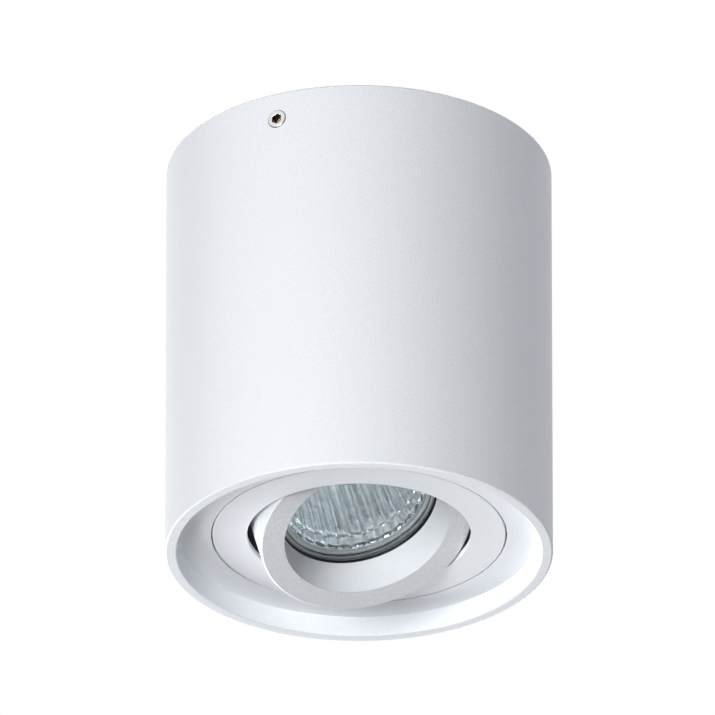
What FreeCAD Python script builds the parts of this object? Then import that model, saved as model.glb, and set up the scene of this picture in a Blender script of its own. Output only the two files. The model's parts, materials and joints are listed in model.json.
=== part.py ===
"""Surface mounted ceiling spotlight with a swivelling, tilting lamp.

Millimetres, +Z up.  The origin is on the ceiling plane, on the body's axis;
everything hangs below it.  The side screws lie on the Y axis.

Three frames are used:
  FIXED   the frame of the whole part
  SWIVEL  turned about Z with the swivel ring; its X axis is the tilt axis
  GIMBAL  origin on the tilt axis, -Z along the light's beam
"""
import FreeCAD, Part
import math
import os
import re
import Sketcher

Vector = FreeCAD.Vector

# ---------------------------------------------------------------- sizes
SIZES = {
    # housing
    "body_radius": 59.0,
    "body_height": 130.0,
    "body_wall": 3.5,
    "recess_depth": 6.0,
    "recess_slope": 1.3,
    "flange_thick": 2.4,
    "rim_round": 0.5,
    "top_chamfer": 0.4,
    # swivel ring and what keeps it in
    "plate_radius": 44.6,
    "plate_gap": 0.45,
    "plate_thick": 1.8,
    "hole_radius": 34.1,
    "hub_wall": 2.2,
    "lip_reach": 3.4,
    "lip_thick": 1.6,
    "washer_thick": 0.5,
    "running_gap": 0.05,
    "keeper_thick": 1.2,
    "keeper_gap": 0.9,
    "boss_radius": 2.9,
    "boss_gap": 0.5,
    "keeper_screw_radius": 1.5,
    "keeper_head_radius": 2.7,
    "keeper_head_height": 1.8,
    "flange_skin": 1.0,
    "stop_width": 4.0,
    "stop_reach": 3.4,
    "stop_rise": 3.8,
    # tilt pivots
    "pivot_rise": 9.8,
    "ear_gap": 1.25,
    "ear_thick": 2.2,
    "ear_radius": 5.0,
    "shoulder_radius": 2.0,
    "pivot_fit": 0.05,
    "pivot_thread_radius": 1.5,
    "pivot_head_radius": 3.4,
    "pivot_head_height": 1.7,
    "pivot_slot": 0.8,
    "spot_depth": 0.5,
    "spot_radius": 4.4,
    "spring_radius": 3.8,
    # lamp ring
    "ring_radius": 33.15,
    "ring_chamfer": 0.5,
    "ring_wall": 2.4,
    "ring_front_thick": 2.6,
    "front_reach": 10.6,
    "cone_front_radius": 25.8,
    "cone_back_radius": 24.95,
    "cone_depth": 12.1,
    "clip_groove": 1.3,
    "groove_depth": 0.85,
    "tube_wall": 1.4,
    "ledge_radius": 23.7,
    "ledge_thick": 1.5,
    "clip_wire_radius": 0.6,
    "clip_opening": 34.0,
    "clip_turn": 215.8,
    # lamp
    "lamp_radius": 24.8,
    "lamp_length": 50.5,
    "lamp_rim": 3.2,
    "lamp_wall": 1.3,
    "lamp_glass_thick": 1.6,
    "lamp_glass_inset": 0.2,
    "bowl_back_radius": 23.3,
    "bowl_mid_radius": 20.6,
    "bowl_mid_depth": 16.0,
    "neck_radius": 10.6,
    "neck_depth": 34.0,
    "neck_length": 4.0,
    "capsule_radius": 4.5,
    "capsule_wall": 0.9,
    "capsule_depth": 8.5,
    "filament_radius": 0.9,
    "filament_length": 5.0,
    "filament_wire_radius": 0.35,
    "cap_radius": 12.4,
    "cap_chamfer": 1.2,
    "pin_spacing": 10.0,
    "pin_length": 7.0,
    "pin_radius": 1.3,
    "pin_head_radius": 2.4,
    "pin_head_height": 2.5,
    # lampholder
    "holder_radius": 14.5,
    "holder_front": 10.0,
    "holder_back": 7.0,
    "holder_round": 1.5,
    "socket_gap": 0.4,
    "holder_screw_offset": 10.0,
    "holder_screw_radius": 1.2,
    "holder_head_radius": 2.2,
    "holder_head_height": 1.3,
    "holder_lead_offset": 4.0,
    # ceiling bracket
    "strap_width": 26.0,
    "strap_thick": 2.0,
    "strap_gap": 2.0,
    "strap_bend": 1.2,
    "tab_drop": 15.0,
    "side_screw_drop": 8.9,
    "side_screw_radius": 2.95,
    "side_screw_proud": 0.3,
    "side_screw_through": 0.6,
    "side_screw_socket": 3.0,
    "side_screw_socket_depth": 3.2,
    "side_screw_bevel": 0.45,
    "slot_spacing": 74.0,
    "slot_width": 4.5,
    "slot_length": 12.0,
    # cable entry
    "entry_back": 13.0,
    "entry_radius": 5.0,
    "bush_wall": 2.0,
    "bush_flange": 2.2,
    "bush_flange_thick": 1.5,
    # terminal block
    "block_front": 3.0,
    "block_length": 20.0,
    "block_depth": 16.0,
    "block_height": 13.0,
    "pole_spacing": 10.0,
    "pole_drop": 9.0,
    "sleeve_radius": 2.4,
    "sleeve_bore": 1.6,
    "sleeve_inset": 1.5,
    "clamp_screw_radius": 1.25,
    "clamp_screw_spacing": 7.0,
    "clamp_screw_proud": 1.6,
    "clamp_screw_grip": 0.4,
    "clamp_access_radius": 1.7,
    "block_screw_radius": 1.5,
    "block_screw_head_radius": 2.6,
    "block_screw_head_height": 1.6,
    "block_slit": 2.2,
    # earth terminal
    "earth_side": 8.5,
    "earth_back": 26.0,
    "earth_screw_radius": 1.9,
    "earth_head_radius": 3.4,
    "earth_head_height": 2.4,
    "earth_washer_radius": 3.9,
    "earth_washer_thick": 0.9,
    # leads
    "lead_radius": 1.0,
    "lead_bend": 5.5,
    "lead_fit": 0.1,
    "lead_entry": 4.0,
    "lead_pair": 1.5,
    "lead_turn_out": 9.5,
    "lead_drop": 11.5,
    "lead_swivel_drop": 11.0,
    # how far a cutting tool runs past what it cuts
    "cut_margin": 1.0,
    # how the lamp is set
    "swivel_turn": 62.3,
    "tilt_turn": -22.3,
}

# Sizes that follow from the ones above.
FORMULAS = {
    "inner_radius": "body_radius - body_wall",
    "recess_radius": "inner_radius - recess_slope",
    "rim_z": "-body_height",
    "face_z": "rim_z + recess_depth",
    "flange_z": "face_z + flange_thick",
    "seat_radius": "plate_radius + plate_gap",
    "hub_radius": "plate_radius - hub_wall",
    "lip_radius": "plate_radius + lip_reach",
    "lip_z": "flange_z + washer_thick + running_gap",
    "lip_top_z": "lip_z + lip_thick",
    "keeper_z": "lip_top_z + running_gap",
    "keeper_top_z": "keeper_z + keeper_thick",
    "keeper_bore": "plate_radius + keeper_gap",
    "boss_circle": "inner_radius - boss_radius - boss_gap",
    "boss_height": "keeper_z - flange_z",
    "keeper_screw_reach": "boss_height + flange_thick - flange_skin",
    "keeper_radius": "boss_circle + boss_radius",
    "pivot_z": "face_z + pivot_rise",
    "ear_inside": "ring_radius + ear_gap",
    "ear_outside": "ear_inside + ear_thick",
    "front_w": "-front_reach",
    "spot_radius_from_axis": "ring_radius - spot_depth",
    "channel_radius": "ring_radius - ring_wall",
    "clip_w": "front_w + cone_depth",
    "clip_mid_w": "clip_w + clip_groove / 2",
    "groove_radius": "cone_back_radius + groove_depth",
    "tube_radius": "groove_radius + tube_wall",
    "clip_radius": "groove_radius - clip_wire_radius - running_gap",
    "lamp_w": "clip_w + clip_groove",
    "ledge_w": "lamp_w + lamp_rim + running_gap",
    "ring_back_w": "ledge_w + ledge_thick",
    "rim_back_w": "lamp_w + lamp_rim",
    "glass_w": "lamp_w + lamp_glass_inset",
    "glass_back_w": "glass_w + lamp_glass_thick",
    "glass_radius": "lamp_radius - lamp_wall",
    "glass_seat_radius": "glass_radius - lamp_wall",
    "bowl_w": "lamp_w + bowl_mid_depth",
    "neck_w": "lamp_w + neck_depth",
    "cap_w": "neck_w + neck_length",
    "base_w": "lamp_w + lamp_length",
    "capsule_w": "lamp_w + capsule_depth",
    "capsule_bore": "capsule_radius - capsule_wall",
    "pin_w": "base_w + pin_length",
    "cover_w": "base_w + holder_front",
    "holder_w": "cover_w + holder_back",
    "socket_radius": "pin_head_radius + socket_gap",
    "tab_y": "inner_radius - strap_gap",
    "side_screw_tip": "tab_y - strap_thick - side_screw_through",
    "side_screw_end": "body_radius + side_screw_proud",
    "bush_radius": "entry_radius + bush_wall",
    "bush_flange_radius": "bush_radius + bush_flange",
    "block_end": "block_front + block_depth",
    "block_bottom_z": "-strap_thick - block_height",
    "block_middle": "block_front + block_depth / 2",
    "lead_hole_radius": "lead_radius + lead_fit",
    "earth_bottom_z": "-strap_thick - earth_washer_thick",
    "lead_turn_y": "block_end + lead_turn_out",
    "lead_run_z": "-pole_drop - lead_drop",
    "lead_swivel_z": "lead_run_z - lead_swivel_drop",
}

KEEPER_SCREWS = 3

doc = FreeCAD.newDocument("ceiling_spotlight")
sheet = doc.addObject("Spreadsheet::Sheet", "sizes")
for row, (alias, size) in enumerate(SIZES.items(), start=1):
    sheet.set(f"A{row}", alias.replace("_", " "))
    sheet.set(f"B{row}", str(size))
    sheet.setAlias(f"B{row}", alias)
doc.recompute()


def formula(text):
    """A size formula spelled out in the sheet's own cells."""
    def spell(match):
        word = match.group()
        if word in FORMULAS:
            return "(" + formula(FORMULAS[word]) + ")"
        return "sizes." + word if word in SIZES else word
    return re.sub(r"[a-z_]+", spell, str(text))


def value(text):
    """What a size formula comes to, as a plain number."""
    return float(sheet.evalExpression(formula(text)))


def placement(x="0", y="0", z="0", yaw="0", pitch="0", roll="0"):
    """A placement formula from a position and three turns in degrees."""
    x, y, z = formula(x), formula(y), formula(z)
    yaw, pitch, roll = formula(yaw), formula(pitch), formula(roll)
    return f"placement(vector({x}; {y}; {z}); rotation({yaw}; {pitch}; {roll}))"


FIXED = placement()
SWIVEL = placement(yaw="swivel_turn")
GIMBAL = placement(z="pivot_z", yaw="swivel_turn", roll="tilt_turn")

nodes = {"root": [], "swivel": [], "gimbal": []}
FRAME_OF = {FIXED: "root", SWIVEL: "swivel", GIMBAL: "gimbal"}


def keep(label, thing, frame):
    """Make an object one of the finished sub-parts."""
    thing.Label = label
    thing.setExpression("Placement", frame)
    nodes[FRAME_OF[frame]].append(thing)
    return thing


def bind(thing, **lengths):
    """Bind properties of an object to size formulas."""
    for name, text in lengths.items():
        thing.setExpression(name, formula(text))
    return thing


# ---------------------------------------------------------------- Part solids
def cylinder(radius, height, at=FIXED):
    """A cylinder along its own Z axis."""
    solid = bind(doc.addObject("Part::Cylinder", "cylinder"), Radius=radius, Height=height)
    solid.setExpression("Placement", at)
    return solid


def cone(radius, top_radius, height, at=FIXED):
    """A cone along its own Z axis."""
    solid = doc.addObject("Part::Cone", "cone")
    bind(solid, Radius1=radius, Radius2=top_radius, Height=height)
    solid.setExpression("Placement", at)
    return solid


def block(length, width, height, at=FIXED):
    """A box from its own lowest corner."""
    solid = doc.addObject("Part::Box", "block")
    bind(solid, Length=length, Width=width, Height=height)
    solid.setExpression("Placement", at)
    return solid


def hexagon(across_flats, height, at=FIXED):
    """A hexagonal bar along its own Z axis."""
    solid = doc.addObject("Part::Prism", "hexagon")
    solid.Polygon = 6
    bind(solid, Circumradius=f"({across_flats}) / sqrt(3)", Height=height)
    solid.setExpression("Placement", at)
    return solid


def cut(base, *tools):
    """The base less the tools."""
    for tool in tools:
        result = doc.addObject("Part::Cut", "cut")
        result.Base, result.Tool = base, tool
        base = result
    return base


def fuse(*solids):
    """One solid from several."""
    result = doc.addObject("Part::MultiFuse", "fuse")
    result.Shapes = list(solids)
    return result


def group(*solids):
    """Separate like solids that share one node."""
    result = doc.addObject("Part::Compound", "group")
    result.Links = list(solids)
    return result


def screw(shank, length, head, head_height, at, slot=None, socket=None):
    """A headed screw: its shank runs down from the seat, its head stands up."""
    overlap = f"({head_height}) / 2"
    solid = fuse(
        cylinder(shank, f"({length}) + {overlap}", placement(z=f"-({length})")),
        cylinder(head, head_height),
    )
    if slot:
        solid = cut(solid, block(f"3 * ({head})", slot, head_height,
                                 placement(f"-1.5 * ({head})", f"-({slot}) / 2", overlap)))
    if socket:
        solid = cut(solid, hexagon(socket, head_height, placement(z=overlap)))
    solid.setExpression("Placement", at)
    return solid


# ---------------------------------------------------------------- sketched bodies
def origin_feature(body, role):
    """A plane or axis of a body's own origin."""
    return next(item for item in body.Origin.OriginFeatures if item.Role == role)


def new_sketch(body, plane, offset="0", turn="0"):
    """An empty sketch on one of the body's planes, moved along and turned about its normal."""
    sketch = body.newObject("Sketcher::SketchObject", "sketch")
    sketch.AttachmentSupport = [(origin_feature(body, plane), "")]
    sketch.MapMode = "FlatFace"
    sketch.setExpression("AttachmentOffset.Base.z", formula(offset))
    sketch.setExpression("AttachmentOffset.Rotation.Yaw", formula(turn))
    doc.recompute()
    return sketch


def hold_point(sketch, edge, end, x, y):
    """Tie one point of a sketch to a pair of size formulas."""
    for kind, text in (("DistanceX", x), ("DistanceY", y)):
        number = sketch.addConstraint(
            Sketcher.Constraint(kind, -1, 1, edge, end, value(text)))
        name = f"{kind}{number}"
        sketch.renameConstraint(number, name)
        sketch.setExpression("Constraints." + name, formula(text))


def arc_through(first, middle, last):
    """The arc through three points, and whether it runs from first to last."""
    circle = Part.Circle(*[Vector(*point, 0) for point in (first, middle, last)])
    centre = circle.Center

    def angle(point):
        return math.atan2(point[1] - centre.y, point[0] - centre.x)

    full = 2 * math.pi
    forwards = (angle(middle) - angle(first)) % full < (angle(last) - angle(first)) % full
    start, end = (first, last) if forwards else (last, first)
    flat = Part.Circle(centre, Vector(0, 0, 1), circle.Radius)
    sweep = (angle(end) - angle(start)) % full
    return Part.ArcOfCircle(flat, angle(start), angle(start) + sweep), forwards


def draw_outline(sketch, outline):
    """A closed outline.  A corner is (x, y); ("by", x, y) bends the side through that point."""
    corners = [item for item in outline if item[0] != "by"]
    bends = {}
    for place, item in enumerate(outline):
        if item[0] == "by":
            bends[sum(1 for other in outline[:place] if other[0] != "by") - 1] = item[1:]
    ends = []
    for side, corner in enumerate(corners):
        following = corners[(side + 1) % len(corners)]
        here = [value(text) for text in corner]
        there = [value(text) for text in following]
        if side in bends:
            through = [value(text) for text in bends[side]]
            shape, forwards = arc_through(here, through, there)
            edge = sketch.addGeometry(shape, False)
            ends.append((edge, 1, 2) if forwards else (edge, 2, 1))
            mark = sketch.addGeometry(Part.Point(Vector(*through, 0)), True)
            hold_point(sketch, mark, 1, *bends[side])
            sketch.addConstraint(Sketcher.Constraint("PointOnObject", mark, 1, edge))
        else:
            edge = sketch.addGeometry(
                Part.LineSegment(Vector(*here, 0), Vector(*there, 0)), False)
            ends.append((edge, 1, 2))
    for side, (edge, first, last) in enumerate(ends):
        next_edge, next_first, _ = ends[(side + 1) % len(ends)]
        sketch.addConstraint(Sketcher.Constraint("Coincident", edge, last, next_edge, next_first))
        hold_point(sketch, edge, first, *corners[side])


def draw_circle(sketch, x, y, radius):
    """A circle tied to its centre and radius formulas."""
    edge = sketch.addGeometry(
        Part.Circle(Vector(value(x), value(y), 0), Vector(0, 0, 1), value(radius)), False)
    hold_point(sketch, edge, 3, x, y)
    number = sketch.addConstraint(Sketcher.Constraint("Radius", edge, value(radius)))
    sketch.renameConstraint(number, f"Radius{number}")
    sketch.setExpression(f"Constraints.Radius{number}", formula(radius))


def new_body(name):
    return doc.addObject("PartDesign::Body", name)


def turned(name, outline):
    """A body turned about Z from an outline of (radius, height) corners."""
    body = new_body(name)
    sketch = new_sketch(body, "XZ_Plane")
    draw_outline(sketch, outline)
    turn = body.newObject("PartDesign::Revolution", "turn")
    turn.Profile = sketch
    turn.ReferenceAxis = (sketch, ["V_Axis"])
    turn.Angle = 360
    doc.recompute()
    return body


def pad(body, sketch, length, symmetric=False, away=False):
    """Material grown from a sketch."""
    feature = body.newObject("PartDesign::Pad", "pad")
    feature.Profile = sketch
    bind(feature, Length=length)
    feature.SideType = "Symmetric" if symmetric else "One side"
    feature.Reversed = away
    doc.recompute()
    return feature


def pocket(body, sketch, length, symmetric=False, away=False):
    """Material cut along a sketch: down its normal, or up it when away is set."""
    before = body.Shape.Volume
    feature = body.newObject("PartDesign::Pocket", "pocket")
    feature.Profile = sketch
    bind(feature, Length=length)
    feature.SideType = "Symmetric" if symmetric else "One side"
    feature.Reversed = away
    doc.recompute()
    if not body.Shape.Volume < before:
        raise ValueError(f"{body.Name}: a pocket cuts nothing")
    return feature


def pattern(body, features, count, axis="Z_Axis"):
    """Features repeated evenly round an axis."""
    feature = body.newObject("PartDesign::PolarPattern", "pattern")
    feature.Originals = features
    feature.Axis = (origin_feature(body, axis), [""])
    feature.Angle = 360
    feature.Occurrences = count
    body.Tip = feature
    doc.recompute()
    return feature


def round_edges(body, size, places, kind="Fillet"):
    """Break the circular edges about Z that lie at the given (radius, height) formulas."""
    wanted = [(value(radius), value(height)) for radius, height in places]
    base, names = body.Tip, []
    for number, edge in enumerate(base.Shape.Edges, start=1):
        curve = edge.Curve
        if not isinstance(curve, Part.Circle) or abs(curve.Axis.z) < 0.999:
            continue
        for radius, height in wanted:
            if abs(curve.Radius - radius) < 1e-4 and abs(curve.Center.z - height) < 1e-4:
                names.append(f"Edge{number}")
    feature = body.newObject("PartDesign::" + kind, kind.lower())
    feature.Base = (base, names)
    bind(feature, **{"Radius" if kind == "Fillet" else "Size": size})
    doc.recompute()
    return feature


def circle_sketch(body, plane, x, y, radius, offset="0"):
    """A sketch with one circle."""
    sketch = new_sketch(body, plane, offset)
    draw_circle(sketch, x, y, radius)
    return sketch


# ---------------------------------------------------------------- the housing
def make_housing():
    """The tube, with the flange that the swivel ring turns in."""
    body = turned("housing", [
        ("inner_radius", "0"),
        ("body_radius", "0"),
        ("body_radius", "rim_z"),
        ("inner_radius", "rim_z"),
        ("recess_radius", "face_z"),
        ("seat_radius", "face_z"),
        ("seat_radius", "flange_z"),
        ("inner_radius", "flange_z"),
    ])
    round_edges(body, "rim_round", [("body_radius", "rim_z"), ("inner_radius", "rim_z")])
    round_edges(body, "top_chamfer", [("body_radius", "0")], kind="Chamfer")
    boss = pad(body, circle_sketch(
        body, "XY_Plane", "boss_circle", "0", "boss_radius", "flange_z"), "boss_height")
    hole = pocket(body, circle_sketch(
        body, "XY_Plane", "boss_circle", "0", "keeper_screw_radius", "keeper_z"),
        "keeper_screw_reach")
    pattern(body, [boss, hole], KEEPER_SCREWS)
    pocket(body, circle_sketch(
        body, "XZ_Plane", "0", "-side_screw_drop", "side_screw_radius + running_gap"),
        "2 * body_radius + 4 * cut_margin", symmetric=True)
    keep("housing", body, FIXED)


def make_side_screws():
    """Two hexagon socket set screws through the housing's wall into the bracket's tabs."""
    screws = []
    for yaw in ("0", "180"):
        length = "side_screw_end - side_screw_tip - side_screw_bevel"
        stud = fuse(
            cylinder("side_screw_radius", length, placement(z="side_screw_tip")),
            cone("side_screw_radius", "side_screw_radius - side_screw_bevel",
                 "side_screw_bevel", placement(z="side_screw_end - side_screw_bevel")),
        )
        socket = hexagon("side_screw_socket", "side_screw_socket_depth + cut_margin",
                         placement(z="side_screw_end - side_screw_socket_depth"))
        set_screw = cut(stud, socket)
        set_screw.setExpression(
            "Placement", placement(z="-side_screw_drop", yaw=yaw, roll="90"))
        screws.append(set_screw)
    keep("side_screws", group(*screws), FIXED)


# ---------------------------------------------------------------- ceiling bracket
def make_ceiling_bracket():
    """A steel strap with a tab bent down at each end."""
    body = new_body("ceiling_bracket")
    sketch = new_sketch(body, "YZ_Plane")
    draw_outline(sketch, [
        ("-tab_y", "-tab_drop"),
        ("-tab_y", "0"),
        ("tab_y", "0"),
        ("tab_y", "-tab_drop"),
        ("tab_y - strap_thick", "-tab_drop"),
        ("tab_y - strap_thick", "-strap_thick"),
        ("strap_thick - tab_y", "-strap_thick"),
        ("strap_thick - tab_y", "-tab_drop"),
    ])
    pad(body, sketch, "strap_width", symmetric=True)
    corner_y = value("tab_y")
    strap = body.Tip
    names = [
        f"Edge{number}" for number, edge in enumerate(strap.Shape.Edges, start=1)
        if abs(abs(edge.CenterOfMass.y) - corner_y) < 1e-4 and abs(edge.CenterOfMass.z) < 1e-4
    ]
    bend = body.newObject("PartDesign::Fillet", "bend")
    bend.Base = (strap, names)
    bind(bend, Radius="strap_bend")
    doc.recompute()

    slots = new_sketch(body, "XY_Plane")
    for sign in ("", "-"):
        middle = f"{sign}slot_spacing / 2"
        straight = "(slot_length - slot_width) / 2"
        half = "slot_width / 2"
        low, high = f"{middle} - {straight}", f"{middle} + {straight}"
        draw_outline(slots, [
            (f"-{half}", low),
            ("by", "0", f"{low} - {half}"),
            (half, low),
            (half, high),
            ("by", "0", f"{high} + {half}"),
            (f"-{half}", high),
        ])
    pocket(body, slots, "strap_thick + cut_margin")

    holes = new_sketch(body, "XY_Plane")
    draw_circle(holes, "0", "-entry_back", "bush_radius")
    draw_circle(holes, "0", "block_middle", "block_screw_radius")
    draw_circle(holes, "-earth_side", "-earth_back", "earth_screw_radius")
    pocket(body, holes, "strap_thick + cut_margin")
    pocket(body, circle_sketch(
        body, "XZ_Plane", "0", "-side_screw_drop", "side_screw_radius + 3 * running_gap"),
        "2 * body_radius", symmetric=True)
    keep("ceiling_bracket", body, FIXED)


def make_cable_bushing():
    """The plastic bushing that lines the supply cable's entry."""
    flange_z = "-strap_thick - bush_flange_thick"
    body = turned("bushing", [
        ("entry_radius", "0"),
        ("bush_radius", "0"),
        ("bush_radius", "-strap_thick"),
        ("bush_flange_radius", "-strap_thick"),
        ("bush_flange_radius", flange_z),
        ("entry_radius", flange_z),
    ])
    round_edges(body, "bush_flange_thick / 3", [("bush_flange_radius", flange_z)])
    body.setExpression("Placement", placement(y="-entry_back"))
    keep("cable_bushing", group(body), FIXED)


def make_earth_terminal():
    """The earthing screw on the bracket, with its cup washer."""
    at = placement("-earth_side", "-earth_back", "earth_bottom_z", roll="180")
    keep("earth_screw", group(screw(
        "earth_screw_radius", "strap_thick + earth_washer_thick - running_gap",
        "earth_head_radius", "earth_head_height", at, slot="pivot_slot")), FIXED)
    washer = cut(
        cylinder("earth_washer_radius", "earth_washer_thick"),
        cylinder("earth_screw_radius + running_gap", "earth_washer_thick"))
    washer.setExpression(
        "Placement", placement("-earth_side", "-earth_back", "earth_bottom_z"))
    keep("earth_washer", group(washer), FIXED)


# ---------------------------------------------------------------- terminal block
def pole_x(sign):
    return f"{sign} * pole_spacing / 2"


def clamp_y(sign):
    return f"block_middle + {sign} * clamp_screw_spacing / 2"


def along_y(x, y, z):
    """A frame whose own Z axis points along +Y."""
    return placement(x, y, z, roll="-90")


def make_terminal_block():
    """A two-pole screw block, its sleeves and their clamping screws."""
    shell = block("block_length", "block_depth", "block_height",
                  placement("-block_length / 2", "block_front", "block_bottom_z"))
    tools, sleeves, screws = [], [], []
    for sign in (-1, 1):
        tools.append(cylinder("sleeve_radius", "block_depth + 2 * cut_margin",
                              along_y(pole_x(sign), "block_front - cut_margin", "-pole_drop")))
        sleeve_length = "block_depth - 2 * sleeve_inset"
        sleeve_at = along_y(pole_x(sign), "block_front + sleeve_inset", "-pole_drop")
        sleeve = cut(cylinder("sleeve_radius", sleeve_length, sleeve_at),
                     cylinder("sleeve_bore", sleeve_length, sleeve_at))
        for end in (-1, 1):
            up = "block_height + strap_thick - pole_drop"
            tools.append(cylinder("clamp_access_radius", up,
                                  placement(pole_x(sign), clamp_y(end), "block_bottom_z")))
            screw_at = placement(pole_x(sign), clamp_y(end),
                                 "-pole_drop - sleeve_radius - clamp_screw_proud")
            tread = cylinder("clamp_screw_radius", "sleeve_radius + clamp_screw_grip", screw_at)
            slot = block("4 * clamp_screw_radius", "pivot_slot / 2", "pivot_slot",
                         placement(f"{pole_x(sign)} - 2 * clamp_screw_radius",
                                   f"{clamp_y(end)} - pivot_slot / 4",
                                   "-pole_drop - sleeve_radius - clamp_screw_proud"))
            screws.append(cut(tread, slot))
            sleeve = cut(sleeve, cylinder("clamp_screw_radius", "pole_drop", placement(
                pole_x(sign), clamp_y(end), "-2 * pole_drop")))
        sleeves.append(sleeve)
    tools.append(cylinder("block_screw_radius", "block_height", placement(
        "0", "block_middle", "block_bottom_z")))
    tools.append(cylinder("block_screw_head_radius", "block_height / 2", placement(
        "0", "block_middle", "block_bottom_z")))
    for y in ("block_front", "block_end - block_depth / 6"):
        tools.append(block("block_slit", "block_depth / 6", "block_height", placement(
            "-block_slit / 2", y, "block_bottom_z - 2 * strap_thick")))
    keep("terminal_block", group(cut(shell, *tools)), FIXED)
    keep("terminal_sleeves", group(*sleeves), FIXED)
    keep("terminal_screws", group(*screws), FIXED)
    seat = "block_bottom_z + block_height / 2"
    keep("block_screw", group(screw(
        "block_screw_radius", "block_height / 2 + strap_thick - running_gap",
        "block_screw_head_radius - running_gap", "block_screw_head_height",
        placement("0", "block_middle", seat, roll="180"), slot="pivot_slot")), FIXED)


# ---------------------------------------------------------------- swivel
def make_swivel_washer():
    """The low-friction ring between the flange and the swivel ring's lip."""
    body = turned("swivel_washer", [
        ("seat_radius + plate_gap", "flange_z"),
        ("lip_radius", "flange_z"),
        ("lip_radius", "flange_z + washer_thick"),
        ("seat_radius + plate_gap", "flange_z + washer_thick"),
    ])
    keep("swivel_washer", body, FIXED)


def make_keeper_ring():
    """The steel ring that traps the swivel ring's lip and carries the fixed stop."""
    body = turned("keeper_ring", [
        ("keeper_bore", "keeper_z"),
        ("keeper_radius", "keeper_z"),
        ("keeper_radius", "keeper_top_z"),
        ("keeper_bore", "keeper_top_z"),
    ])
    tab = new_sketch(body, "XY_Plane", "keeper_z", turn="swivel_turn")
    draw_outline(tab, [
        ("-keeper_bore - keeper_gap", "-stop_width / 2"),
        ("-keeper_bore - keeper_gap", "stop_width / 2"),
        ("-keeper_bore + stop_reach", "stop_width / 2"),
        ("-keeper_bore + stop_reach", "-stop_width / 2"),
    ])
    pad(body, tab, "keeper_thick")
    hole = pocket(body, circle_sketch(
        body, "XY_Plane", "boss_circle", "0", "keeper_screw_radius + running_gap",
        "keeper_top_z"), "keeper_thick + cut_margin")
    pattern(body, [hole], KEEPER_SCREWS)
    keep("keeper_ring", body, FIXED)


def make_keeper_screws():
    """Pan head screws that hold the keeper ring to the flange's bosses."""
    screws = []
    for number in range(KEEPER_SCREWS):
        turn = 360 * number // KEEPER_SCREWS
        one = screw("keeper_screw_radius - running_gap",
                    "keeper_thick + keeper_screw_reach - 2 * running_gap",
                    "keeper_head_radius", "keeper_head_height",
                    placement("boss_circle", z="keeper_top_z"), slot="pivot_slot")
        carrier = group(one)
        carrier.setExpression("Placement", placement(yaw=str(turn)))
        screws.append(carrier)
    keep("keeper_screws", group(*screws), FIXED)


def make_swivel_ring():
    """The round front plate, its lip, its two pivot ears and its moving stop."""
    body = turned("swivel_ring", [
        ("hole_radius", "face_z"),
        ("plate_radius", "face_z"),
        ("plate_radius", "lip_z"),
        ("lip_radius", "lip_z"),
        ("lip_radius", "lip_top_z"),
        ("hub_radius", "lip_top_z"),
        ("hub_radius", "face_z + plate_thick"),
        ("hole_radius", "face_z + plate_thick"),
    ])
    round_edges(body, "ring_chamfer / 2", [("plate_radius", "face_z")])
    for offset in ("ear_inside", "-ear_outside"):
        ear = new_sketch(body, "YZ_Plane", offset)
        draw_outline(ear, [
            ("-ear_radius", "face_z + plate_thick / 2"),
            ("ear_radius", "face_z + plate_thick / 2"),
            ("ear_radius", "pivot_z"),
            ("by", "0", "pivot_z + ear_radius"),
            ("-ear_radius", "pivot_z"),
        ])
        pad(body, ear, "ear_thick")
    pocket(body, circle_sketch(
        body, "YZ_Plane", "0", "pivot_z", "shoulder_radius + pivot_fit"),
        "2 * ear_outside + 4 * cut_margin", symmetric=True)
    stop = new_sketch(body, "XY_Plane", "lip_top_z - lip_thick / 2")
    draw_outline(stop, [
        ("hub_radius", "-stop_width / 2"),
        ("plate_radius - running_gap", "-stop_width / 2"),
        ("plate_radius - running_gap", "stop_width / 2"),
        ("hub_radius", "stop_width / 2"),
    ])
    pad(body, stop, "stop_rise")
    keep("swivel_ring", body, SWIVEL)


# ---------------------------------------------------------------- lamp ring
def along_x(x, yaw="0"):
    """A frame on the tilt axis whose own Z axis points outwards along X."""
    return placement(f"({x}) * {'-1' if yaw == '180' else '1'}", yaw=yaw, pitch="90")


def make_lamp_ring():
    """The tilting ring: front annulus, skirt, and the tube that holds the lamp."""
    body = turned("lamp_ring", [
        ("cone_front_radius", "front_w"),
        ("ring_radius", "front_w"),
        ("ring_radius", "ring_back_w"),
        ("channel_radius", "ring_back_w"),
        ("channel_radius", "front_w + ring_front_thick"),
        ("tube_radius", "front_w + ring_front_thick"),
        ("tube_radius", "ring_back_w"),
        ("ledge_radius", "ring_back_w"),
        ("ledge_radius", "ledge_w"),
        ("cone_back_radius", "ledge_w"),
        ("cone_back_radius", "lamp_w"),
        ("groove_radius", "lamp_w"),
        ("groove_radius", "clip_w"),
        ("cone_back_radius", "clip_w"),
    ])
    round_edges(body, "ring_chamfer", [("ring_radius", "front_w")], kind="Chamfer")
    spot = pocket(body, circle_sketch(
        body, "YZ_Plane", "0", "0", "spot_radius", "spot_radius_from_axis"),
        "2 * spot_depth", away=True)
    hole = pocket(body, circle_sketch(
        body, "YZ_Plane", "0", "0", "pivot_thread_radius",
        "channel_radius - spot_depth"), "ring_wall + spot_depth", away=True)
    pattern(body, [spot, hole], 2)
    keep("lamp_ring", body, GIMBAL)


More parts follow.
